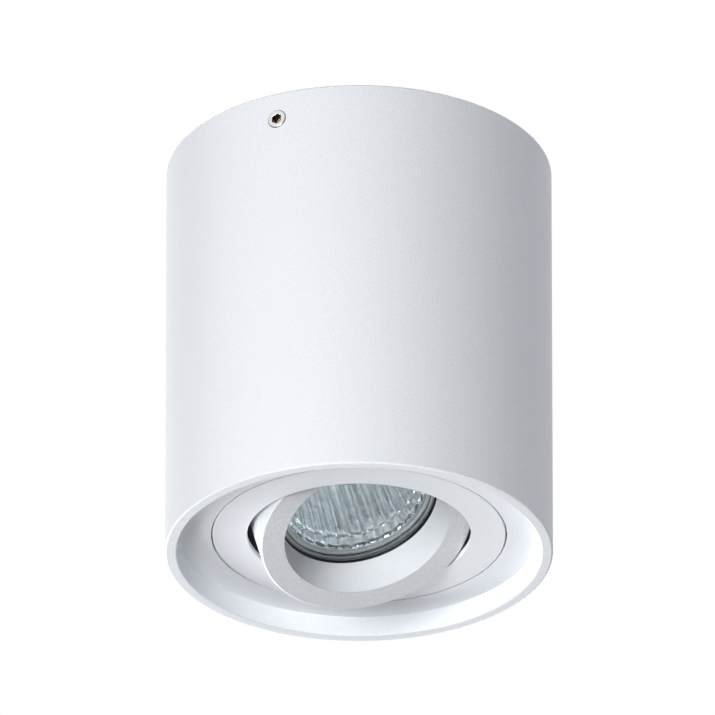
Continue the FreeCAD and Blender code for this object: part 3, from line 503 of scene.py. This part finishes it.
def reflector_finish():
    """Metallised glass: silvery grey-blue with radial streaks, pinholes and a satin lip."""
    s, mirror = sizes(), colours().mirror
    finish = Finish("Faceted mirror")
    tree = finish.tree
    x, y, z = split_node(tree, finish.lamp_place())
    around = math_node(tree, "MULTIPLY", math_node(tree, "ARCTAN2", y, x), 9.0)
    upward = math_node(tree, "MULTIPLY", z, 60.0)
    streaks = noise_node(tree, plane_node(tree, around, upward), 3.4, 3.0, 0.6)
    pinholes = range_node(tree, noise_node(tree, finish.place, 640.0, 3.0, 0.7), 0.54, 0.68,
                          0.0, 0.55)
    glass_back = s.glass_front + s.glass_thick
    lip = range_node(tree, z, glass_back + 0.9 * MM, glass_back + 0.5 * MM)
    tone = mix_colours(tree, range_node(tree, streaks, 0.38, 0.62), tinted(mirror, 0.8),
                       tinted(mirror, 1.06))
    tone = mix_colours(tree, pinholes, tone, tinted(mirror, 0.6))
    finish.feed("Base Color", mix_colours(tree, lip, tone, tinted(mirror, 0.52)))
    finish.feed("Metallic", 1.0)
    streaked = range_node(tree, streaks, 0.3, 0.7, 0.2, 0.1)
    finish.feed("Roughness", math_node(tree, "MULTIPLY_ADD", lip, 0.35, streaked))
    cells = cells_node(tree, finish.place, 520.0)
    finish.bump(math_node(tree, "MULTIPLY_ADD", streaks, 0.5, cells), 0.1 * MM)
    return finish.material


def glass_finish(name, shade, roughness):
    """Glass with a trace of dust."""
    finish = Finish(name)
    tree = finish.tree
    dust = noise_node(tree, finish.place, 260.0, 4.0, 0.65)
    finish.feed("Base Color", mix_colours(tree, range_node(tree, dust, 0.5, 0.8), shade,
                                          tinted(shade, 0.93)))
    finish.feed("Roughness", range_node(tree, dust, 0.45, 0.75, roughness, roughness + 0.05))
    finish.feed("Transmission Weight", 1.0)
    finish.feed("IOR", 1.46)
    return finish.material


# ------------------------------------------------------------------ mesh helpers
def turned(profile, steps):
    """Spins a closed outline of (radius, height) points about the Z axis."""
    mesh = bmesh.new()
    corners = [mesh.verts.new((radius, 0.0, height)) for radius, height in profile]
    sides = [mesh.edges.new(pair) for pair in zip(corners, corners[1:] + corners[:1])]
    bmesh.ops.spin(mesh, geom=corners + sides, cent=(0, 0, 0), axis=(0, 0, 1), dvec=(0, 0, 0),
                   angle=2 * math.pi, steps=steps, use_merge=True, use_duplicate=False)
    bmesh.ops.remove_doubles(mesh, verts=mesh.verts, dist=1e-7)
    bmesh.ops.dissolve_degenerate(mesh, dist=1e-8, edges=mesh.edges)
    bmesh.ops.recalc_face_normals(mesh, faces=mesh.faces)
    return mesh


def sharp_edges(mesh):
    """The edges whose faces meet at more than 50 degrees."""
    return [edge for edge in mesh.edges if len(edge.link_faces) == 2
            and edge.calc_face_angle(0.0) > math.radians(50.0)]


def bevelled(mesh, edges, width, segments):
    """Rounds the given edges."""
    bmesh.ops.bevel(mesh, geom=edges, offset=width, segments=segments, profile=0.5,
                    affect="EDGES", material=-1, clamp_overlap=True)


def piece_from(name, mesh, material, place=None):
    """Turns a finished bmesh into a smooth shaded object at the origin."""
    if place is not None:
        bmesh.ops.transform(mesh, matrix=place, verts=mesh.verts)
    bmesh.ops.recalc_face_normals(mesh, faces=mesh.faces)
    for face in mesh.faces:
        face.smooth = True
    for edge in sharp_edges(mesh):
        edge.smooth = False
    data = bpy.data.meshes.new(name)
    mesh.to_mesh(data)
    mesh.free()
    data.materials.append(material)
    piece = bpy.data.objects.new(name, data)
    bpy.context.scene.collection.objects.link(piece)
    return piece


def fit(piece, body, node):
    """Mounts a piece on its body in place of a CAD node."""
    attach(piece, body)
    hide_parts(node)


def coat_node(node, material):
    """Gives a CAD node its finish."""
    data = NODES[node].data
    data.materials.clear()
    data.materials.append(material)


# ------------------------------------------------------------------ pieces
class SPOTLIGHT_OT_coated_parts(bpy.types.Operator):
    """Finishes the housing, the swivel ring and the lamp ring"""
    bl_idname = "spotlight.coated_parts"
    bl_label = "Coated parts"

    def execute(self, context):
        coat_node("housing", housing_finish())
        coat_node("swivel_ring", swivel_ring_finish())
        coat_node("lamp_ring", lamp_ring_finish())
        return {"FINISHED"}


def edge_circle(mesh, radius, segments, height):
    """The edges of an open circle at a height."""
    made = bmesh.ops.create_circle(mesh, cap_ends=False, radius=radius, segments=segments,
                                   matrix=Matrix.Translation((0, 0, height)))
    return list({edge for vert in made["verts"] for edge in vert.link_edges})


class SPOTLIGHT_OT_side_screws(bpy.types.Operator):
    """Models the two chromed set screws with their hexagon sockets"""
    bl_idname = "spotlight.side_screws"
    bl_label = "Side screws"

    def execute(self, context):
        s = sizes()
        mesh = bmesh.new()
        long = s.screw_face - s.screw_end
        rim = edge_circle(mesh, s.screw_radius, 48, long)
        hexagon = edge_circle(mesh, s.screw_socket / math.sqrt(3), 6, long)
        bmesh.ops.subdivide_edges(mesh, edges=hexagon, cuts=7)
        socket = [edge for edge in mesh.edges if edge not in set(rim)]
        bmesh.ops.bridge_loops(mesh, edges=rim + socket)
        for loop, depth in ((rim, long), (socket, s.socket_depth)):
            made = bmesh.ops.extrude_edge_only(mesh, edges=loop)["geom"]
            moved = [item for item in made if isinstance(item, bmesh.types.BMVert)]
            bmesh.ops.translate(mesh, vec=(0, 0, -depth), verts=moved)
            ends = [item for item in made if isinstance(item, bmesh.types.BMEdge)
                    and item.is_boundary]
            bmesh.ops.contextual_create(mesh, geom=ends)
        bmesh.ops.recalc_face_normals(mesh, faces=mesh.faces)
        sharp = sharp_edges(mesh)
        outer = [edge for edge in sharp
                 if all(vert.co.xy.length > s.screw_radius * 0.9 for vert in edge.verts)]
        inner = [edge for edge in sharp if edge not in outer]
        bevelled(mesh, outer, 0.45 * MM, 4)
        bevelled(mesh, inner, 0.08 * MM, 2)
        chrome = screw_finish()
        for name, copy, turn in (("set_screw_front", mesh, math.pi / 2),
                                 ("set_screw_back", mesh.copy(), -math.pi / 2)):
            place = (Matrix.Translation((0, 0, -s.screw_drop)) @ Matrix.Rotation(turn, 4, "X")
                     @ Matrix.Translation((0, 0, s.screw_end)))
            fit(piece_from(name, copy, chrome, place), "root", "side_screws")
        return {"FINISHED"}


class SPOTLIGHT_OT_lamp_clip(bpy.types.Operator):
    """Models the blackened wire ring that holds the lamp"""
    bl_idname = "spotlight.lamp_clip"
    bl_label = "Lamp clip"

    def execute(self, context):
        s = sizes()
        sweep = 2 * math.pi - s.wire_opening
        mesh = bmesh.new()
        section = bmesh.ops.create_circle(
            mesh, cap_ends=True, radius=s.wire, segments=16,
            matrix=(Matrix.Translation((s.wire_circle, 0, 0))
                    @ Matrix.Rotation(math.pi / 2, 4, "X")))
        geom = section["verts"] + list(mesh.edges) + list(mesh.faces)
        bmesh.ops.spin(mesh, geom=geom, cent=(0, 0, 0), axis=(0, 0, 1), dvec=(0, 0, 0),
                       angle=sweep, steps=150, use_merge=False, use_duplicate=False)
        bmesh.ops.remove_doubles(mesh, verts=mesh.verts, dist=1e-7)
        for end in (0.0, sweep):
            tip = Vector((math.cos(end), math.sin(end), 0)) * s.wire_circle
            near = [vert for vert in mesh.verts if (vert.co - tip).length < s.wire * 1.05]
            rim = [edge for edge in mesh.edges if all(vert in near for vert in edge.verts)]
            bevelled(mesh, rim, s.wire * 0.35, 2)
        place = (lamp_frame() @ Matrix.Translation((0, 0, s.wire_depth))
                 @ Matrix.Rotation(s.wire_turn + s.wire_opening / 2, 4, "Z"))
        finish = metal_finish("Blackened wire", colours().black_wire, 0.34, 0.6 * MM)
        fit(piece_from("clip_wire", mesh, finish, place), "gimbal", "lamp_clip")
        return {"FINISHED"}


# The bowl's inner face: shares of the way inward from the mouth's radius to the neck's,
# and of the way up from the mouth to the neck
INNER_FACE = ((0.0, 0.0), (0.08, 0.07), (0.28, 0.26), (0.49, 0.48), (0.75, 0.73), (1.0, 1.0))
INNER_STEPS, OUTER_STEPS, STEPS_A_FLUTE = 110, 16, 10
# Heights, 0 at the mouth to 1 at the neck, where the scales and the long flutes start,
# and the height in which they round off at their start
SCALES_START, FLUTES_START, ROUNDED_START = 0.03, 0.15, 0.06
# Flutes closer to the axis than this are lower
FULL_FLUTE_RADIUS = 18.0 * MM


def smoothed(points, count):
    """A smooth line of (radius, height) through the given points."""
    made = []
    for index in range(count + 1):
        at = index / count * (len(points) - 1)
        left = min(int(at), len(points) - 2)
        t = at - left
        p0 = Vector(points[max(left - 1, 0)])
        p1, p2 = Vector(points[left]), Vector(points[left + 1])
        p3 = Vector(points[min(left + 2, len(points) - 1)])
        made.append(tuple(0.5 * (2 * p1 + (p2 - p0) * t + (2 * p0 - 5 * p1 + 4 * p2 - p3) * t ** 2
                                 + (3 * p1 - p0 - 3 * p2 + p3) * t ** 3)))
    return made


def flute_height(turns, along):
    """Height, 0 to 1, of the pressed ribs: scales near the mouth, long flutes above.

    turns counts flutes round the bowl; along is 0 at the mouth and 1 at the neck.
    """
    if not SCALES_START <= along < 1.0:
        return 0.0
    if along < FLUTES_START:
        start, height = SCALES_START, 0.85
    else:
        start, height = FLUTES_START, 0.8 - 0.5 * max(0.0, along - 0.5)
    across = 2 * (turns % 1.0) - 1
    rounding = 1 - min((along - start) / ROUNDED_START, 1.0)
    return math.sqrt(max(0.0, 1 - across ** 2 - rounding ** 2)) * height


class SPOTLIGHT_OT_reflector(bpy.types.Operator):
    """Models the lamp's pressed glass reflector with its ribs"""
    bl_idname = "spotlight.reflector"
    bl_label = "Reflector"

    def execute(self, context):
        s = sizes()
        wall = s.neck_radius - s.neck_bore
        mouth = s.glass_front + s.glass_thick + 0.1 * MM
        lean, rise = s.mouth_radius - s.neck_bore, s.neck_height - mouth
        inner = smoothed([(s.mouth_radius - inward * lean, mouth + upward * rise)
                          for inward, upward in INNER_FACE], INNER_STEPS)
        rim_back = s.lamp_front + s.lamp_rim
        outer = smoothed([
            (s.neck_radius, s.neck_height),
            (s.neck_radius + 4.9 * MM, s.neck_height - 8.2 * MM),
            (20.6 * MM, s.lamp_front + 16.0 * MM),
            (s.mouth_radius + wall * 0.8, rim_back + 1.6 * MM),
            (s.mouth_radius + wall, rim_back)], OUTER_STEPS)
        seat = s.glass_radius + 0.05 * MM
        mesh = turned([(seat, s.lamp_front), (seat, mouth), *inner,
                       (s.neck_bore, s.lamp_back), (s.neck_radius, s.lamp_back), *outer,
                       (s.lamp_radius, rim_back), (s.lamp_radius, s.lamp_front)],
                      s.flute_count * STEPS_A_FLUTE)
        self.press_flutes(mesh, inner)
        piece = piece_from("reflector_bowl", mesh, reflector_finish(), lamp_frame())
        fit(piece, "gimbal", "lamp_reflector")
        return {"FINISHED"}

    def press_flutes(self, mesh, inner):
        """Moves the inner face's points inward; they are found by their heights."""
        s = sizes()
        (_, mouth), (_, neck) = inner[0], inner[-1]
        bores = {round(height, 7): radius for radius, height in inner[1:-1]}
        for vert in mesh.verts:
            radius = vert.co.xy.length
            bore = bores.get(round(vert.co.z, 7))
            if bore is None or abs(radius - bore) > 0.2 * MM:
                continue
            turns = math.atan2(vert.co.y, vert.co.x) / (2 * math.pi) * s.flute_count
            height = flute_height(turns, (vert.co.z - mouth) / (neck - mouth))
            height *= s.flute_depth * min(1.0, radius / FULL_FLUTE_RADIUS)
            vert.co.xy *= 1 - height / radius


class SPOTLIGHT_OT_lamp_glass(bpy.types.Operator):
    """Models the lamp's front glass and its inner capsule"""
    bl_idname = "spotlight.lamp_glass"
    bl_label = "Lamp glass"

    def execute(self, context):
        s, shade = sizes(), colours().glass
        back = s.glass_front + s.glass_thick
        disc = turned([(0.0, s.glass_front), (s.glass_radius, s.glass_front),
                       (s.glass_radius, back), (0.0, back)], 128)
        bevelled(disc, sharp_edges(disc), 0.5 * MM, 3)
        clear = glass_finish("Clear glass", shade, 0.0)
        fit(piece_from("front_glass", disc, clear, lamp_frame()), "gimbal",
            "lamp_front_glass")

        radius, bore = s.capsule_radius, s.capsule_radius - s.capsule_wall
        centre = s.capsule_tip + radius
        bend = [math.radians(angle) for angle in range(0, 91, 10)]
        outside = [(radius * math.sin(a), centre - radius * math.cos(a)) for a in bend]
        inside = [(bore * math.sin(a), centre - bore * math.cos(a)) for a in reversed(bend)]
        shell = turned(outside + [(radius, s.lamp_back), (bore, s.lamp_back)] + inside, 64)
        cloudy = glass_finish("Capsule glass", tinted(shade, 0.92), 0.16)
        fit(piece_from("capsule_bulb", shell, cloudy, lamp_frame()), "gimbal",
            "lamp_capsule")
        return {"FINISHED"}


# The leads' route.  Each pair of millimetres is (Y, Z).  POLE_GAP, PAIR_GAP and INLET_GAP
# are half the distance between the two leads at the block, on the axis and at the lampholder.
BLOCK_ROUTE = ((15.0, -9.0), (24.0, -9.0), (28.5, -9.0), (28.5, -14.8), (28.5, -20.5),
               (18.0, -20.5))
AXIS_ROUTE = ((4.0, -20.5), (0.0, -20.5), (0.0, -25.5))
TWIST_Z, PARTING_Z, LEVEL_Z = -21.5 * MM, -31.5 * MM, -38.0 * MM
POLE_GAP, PAIR_GAP, INLET_GAP, INLET_HEIGHT = 5.0 * MM, 1.5 * MM, 4.0 * MM, 66.8 * MM


def tube_along(points, radius):
    """A round closed tube that follows the given points."""
    line = bpy.data.curves.new("route", "CURVE")
    line.dimensions = "3D"
    line.bevel_depth, line.bevel_resolution = radius, 4
    line.resolution_u, line.use_fill_caps = 10, True
    spline = line.splines.new("NURBS")
    spline.points.add(len(points) - 1)
    for control, point in zip(spline.points, points):
        control.co = (*point, 1.0)
    spline.order_u, spline.use_endpoint_u = 3, True
    holder = bpy.data.objects.new("route", line)
    bpy.context.scene.collection.objects.link(holder)
    bpy.context.view_layer.update()
    depsgraph = bpy.context.evaluated_depsgraph_get()
    tube = bpy.data.meshes.new_from_object(holder.evaluated_get(depsgraph))
    mesh = bmesh.new()
    mesh.from_mesh(tube)
    bmesh.ops.remove_doubles(mesh, verts=mesh.verts, dist=1e-7)
    bpy.data.objects.remove(holder)
    bpy.data.curves.remove(line)
    bpy.data.meshes.remove(tube)
    return mesh


class SPOTLIGHT_OT_leads(bpy.types.Operator):
    """Models the two sleeved leads between the terminal block and the lampholder"""
    bl_idname = "spotlight.leads"
    bl_label = "Leads"

    def execute(self, context):
        shades = colours()
        place = lamp_frame()
        up = (place.to_3x3() @ Vector((0, 0, 1))).normalized()
        for name, sign, finish, slot in (
                ("live", -1, sleeve_finish("Brown sleeve", shades.live), "brown_lead"),
                ("neutral", 1, sleeve_finish("Blue sleeve", shades.neutral), "blue_lead")):
            pair = TILT_AXIS.normalized() * PAIR_GAP * sign
            parting = pair + Vector((0, 0, PARTING_Z))
            upper = [Vector((POLE_GAP * sign, y * MM, z * MM)) for y, z in BLOCK_ROUTE]
            upper += [pair + Vector((0, y * MM, z * MM)) for y, z in AXIS_ROUTE] + [parting]
            inlet = place @ Vector((INLET_GAP * sign, 0, INLET_HEIGHT))
            above = inlet + up * ((LEVEL_Z - inlet.z) / up.z)
            level = pair + Vector((0, 0, LEVEL_Z))
            lower = [parting, parting.lerp(level, 0.6), level, level.lerp(above, 0.5), above,
                     above.lerp(inlet, 0.45), inlet]
            for part, points, bodies, start, end in (
                    ("upper", upper, ("root", "swivel"), (0, 0, TWIST_Z), parting),
                    ("lower", lower, ("swivel", "gimbal"), parting, inlet)):
                mesh = tube_along(points, sizes().lead_radius)
                piece = piece_from(f"{name}_sleeve_{part}", mesh, finish)
                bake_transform(piece)
                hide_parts(f"{name}_lead_{part}")
        return {"FINISHED"}


class SPOTLIGHT_OT_fittings(bpy.types.Operator):
    """Finishes the bracket, terminals, bushing, keeper, pivots, cap and lampholder"""
    bl_idname = "spotlight.fittings"
    bl_label = "Fittings"

    def execute(self, context):
        c = colours()
        zinc = metal_finish("Zinc plated steel", c.zinc, 0.33, 1.1 * MM, 0.01 * MM)
        screw = metal_finish("Zinc plated screws", tinted(c.zinc, 1.1), 0.26, 0.6 * MM)
        brass = metal_finish("Brass", c.brass, 0.28)
        pins = metal_finish("Nickelled pins", tinted(c.zinc, 1.15), 0.2)
        wire = metal_finish("Tungsten wire", c.tungsten, 0.45, 0.3 * MM)
        rubber = moulded_finish("Black bushing", c.black, 0.62).material
        pale = moulded_finish("Pale moulding", c.pale, 0.42).material
        ceramic = moulded_finish("Unglazed ceramic", c.ceramic, 0.7, 0.4 * MM,
                                 0.03 * MM).material
        for finish, nodes in (
                (zinc, ("ceiling_bracket", "keeper_ring")),
                (screw, ("keeper_screws", "block_screw", "terminal_screws", "earth_washer",
                         "pivot_screws", "pivot_washers", "lampholder_screws")),
                (brass, ("earth_screw", "terminal_sleeves", "lampholder_contacts")),
                (pins, ("lamp_pins",)),
                (wire, ("lamp_filament",)),
                (rubber, ("cable_bushing",)),
                (pale, ("terminal_block", "swivel_washer")),
                (ceramic, ("lamp_cap", "lampholder_body", "lampholder_cover"))):
            for node in nodes:
                coat_node(node, finish)
        return {"FINISHED"}


# ------------------------------------------------------------------ stage
VIEW_AZIMUTH, VIEW_ELEVATION = math.radians(25.09), math.radians(27.39)
VIEW_DISTANCE, LENS = 7.5, 1241.9
# Where the camera aims, up and to the left of the middle of the housing's lower end
AIM_UP, AIM_LEFT = 59.4 * MM, 0.46 * MM
# Each light: its turn from the camera, positive to the right, and its drop below level in
# degrees, its size, the share it adds to a white surface that faces it, and its colour
NEAR_WHITE = (0.98, 0.99, 1.0)
LIGHTS = (("Key", -26, 20, 0.7, 0.91, NEAR_WHITE),
          ("Low left", -150, 18, 0.5, 0.98, NEAR_WHITE),
          ("Right edge", 112, -15, 0.6, 0.28, (0.92, 0.925, 1.0)),
          ("Floor glow", 0, 85, 1.0, 0.13, NEAR_WHITE))
LIGHT_DISTANCE = 1.6
WORLD_TINT, WORLD_STRENGTH = (0.935, 0.945, 1.0), 0.20
# The floor lies lower than the camera can come, from any side
FLOOR_Z, FLOOR_HALF_SIZE = -9.0, 30.0


def aim(thing, place, target):
    """Puts a camera or a light in its place, turned to its target."""
    thing.location = place
    thing.rotation_euler = (target - place).to_track_quat("-Z", "Y").to_euler()


def soft_light(name, toward, size, share, shade):
    """A square soft light that stands off from the housing's middle."""
    light = bpy.data.lights.new(name, "AREA")
    light.shape, light.size, light.color = "SQUARE", size, shade
    light.energy = share * math.pi ** 2 * LIGHT_DISTANCE ** 2
    holder = bpy.data.objects.new(name, light)
    bpy.context.scene.collection.objects.link(holder)
    centre = Vector((0, 0, BODY_LOW.z / 2))
    aim(holder, centre + toward.normalized() * LIGHT_DISTANCE, centre)


def background(tree, shade, strength):
    """A world shader of one colour."""
    node = tree.nodes.new("ShaderNodeBackground")
    node.inputs["Color"].default_value = (*shade, 1.0)
    node.inputs["Strength"].default_value = strength
    return node.outputs["Background"]


class SPOTLIGHT_OT_stage(bpy.types.Operator):
    """Sets up the camera, the soft lights, the white surroundings and the floor"""
    bl_idname = "spotlight.stage"
    bl_label = "Stage"

    def execute(self, context):
        scene = bpy.context.scene
        scene.view_settings.view_transform = "Standard"
        side = Vector((math.cos(VIEW_AZIMUTH), math.sin(VIEW_AZIMUTH), 0))
        away = Vector((-math.sin(VIEW_AZIMUTH), math.cos(VIEW_AZIMUTH), 0))
        look = away * math.cos(VIEW_ELEVATION) + Vector((0, 0, math.sin(VIEW_ELEVATION)))
        bottom = Vector((0, 0, BODY_LOW.z))
        camera = bpy.data.cameras.new("View")
        camera.lens, camera.sensor_width, camera.clip_start = LENS, 36.0, 0.1
        holder = bpy.data.objects.new("View", camera)
        scene.collection.objects.link(holder)
        aim(holder, bottom - look * VIEW_DISTANCE,
            bottom + side.cross(look) * AIM_UP - side * AIM_LEFT)
        scene.camera = holder

        for name, turn, drop, size, share, shade in LIGHTS:
            turn, drop = math.radians(turn), math.radians(drop)
            level = side * math.sin(turn) - away * math.cos(turn)
            toward = level * math.cos(drop) - Vector((0, 0, math.sin(drop)))
            soft_light(name, toward, size, share, shade)
        scene.world = self.white_world()
        self.pale_floor()
        return {"FINISHED"}

    def white_world(self):
        """White where it is seen, reflected or looked through; softer as a light."""
        world = bpy.data.worlds.new("Surroundings")
        world.use_nodes = True
        tree = world.node_tree
        tree.nodes.clear()
        seen = ray_is(tree, "Is Camera Ray", "Is Glossy Ray", "Is Transmission Ray")
        light = background(tree, WORLD_TINT, WORLD_STRENGTH)
        white = background(tree, (1.0, 1.0, 1.0), 1.0)
        mix_shaders(tree, seen, light, white, tree.nodes.new("ShaderNodeOutputWorld"))
        return world

    def pale_floor(self):
        """A wide pale floor far below, as white as the surroundings where it is reflected."""
        mesh = bmesh.new()
        bmesh.ops.create_grid(mesh, x_segments=2, y_segments=2, size=FLOOR_HALF_SIZE,
                              matrix=Matrix.Translation((0, 0, FLOOR_Z)))
        finish = moulded_finish("Pale floor", (0.88, 0.88, 0.89), 0.8, 10.0 * MM, 0.1 * MM)
        tree = finish.tree
        mirrored = ray_is(tree, "Is Glossy Ray", "Is Transmission Ray")
        glow = tree.nodes.new("ShaderNodeEmission").outputs["Emission"]
        mix_shaders(tree, mirrored, finish.shader.outputs["BSDF"], glow, finish.output)
        piece_from("floor", mesh, finish.material)


class SPOTLIGHT_PT_panel(bpy.types.Panel):
    """Lists the steps that dress the spotlight"""
    bl_idname = "SPOTLIGHT_PT_panel"
    bl_label = "Ceiling spotlight"
    bl_space_type = "VIEW_3D"
    bl_region_type = "UI"
    bl_category = "Spotlight"

    def draw(self, context):
        for step in STEPS:
            self.layout.operator(step.bl_idname)
        for group in (context.scene.spotlight_sizes, context.scene.spotlight_colours):
            for name in group.bl_rna.properties.keys():
                if name not in ("rna_type", "name"):
                    self.layout.prop(group, name)


STEPS = (SPOTLIGHT_OT_coated_parts, SPOTLIGHT_OT_side_screws, SPOTLIGHT_OT_lamp_clip,
         SPOTLIGHT_OT_reflector, SPOTLIGHT_OT_lamp_glass, SPOTLIGHT_OT_leads,
         SPOTLIGHT_OT_fittings, SPOTLIGHT_OT_stage)
CLASSES = (SpotlightSizes, SpotlightColours, *STEPS, SPOTLIGHT_PT_panel)


def register():
    for cls in CLASSES:
        bpy.utils.register_class(cls)
    bpy.types.Scene.spotlight_sizes = bpy.props.PointerProperty(type=SpotlightSizes)
    bpy.types.Scene.spotlight_colours = bpy.props.PointerProperty(type=SpotlightColours)


def unregister():
    del bpy.types.Scene.spotlight_colours
    del bpy.types.Scene.spotlight_sizes
    for cls in reversed(CLASSES):
        bpy.utils.unregister_class(cls)


def main():
    register()
    bpy.ops.spotlight.coated_parts()
    bpy.ops.spotlight.side_screws()
    bpy.ops.spotlight.lamp_clip()
    bpy.ops.spotlight.reflector()
    bpy.ops.spotlight.lamp_glass()
    bpy.ops.spotlight.leads()
    bpy.ops.spotlight.fittings()
    bpy.ops.spotlight.stage()


if __name__ == "__main__":
    main()
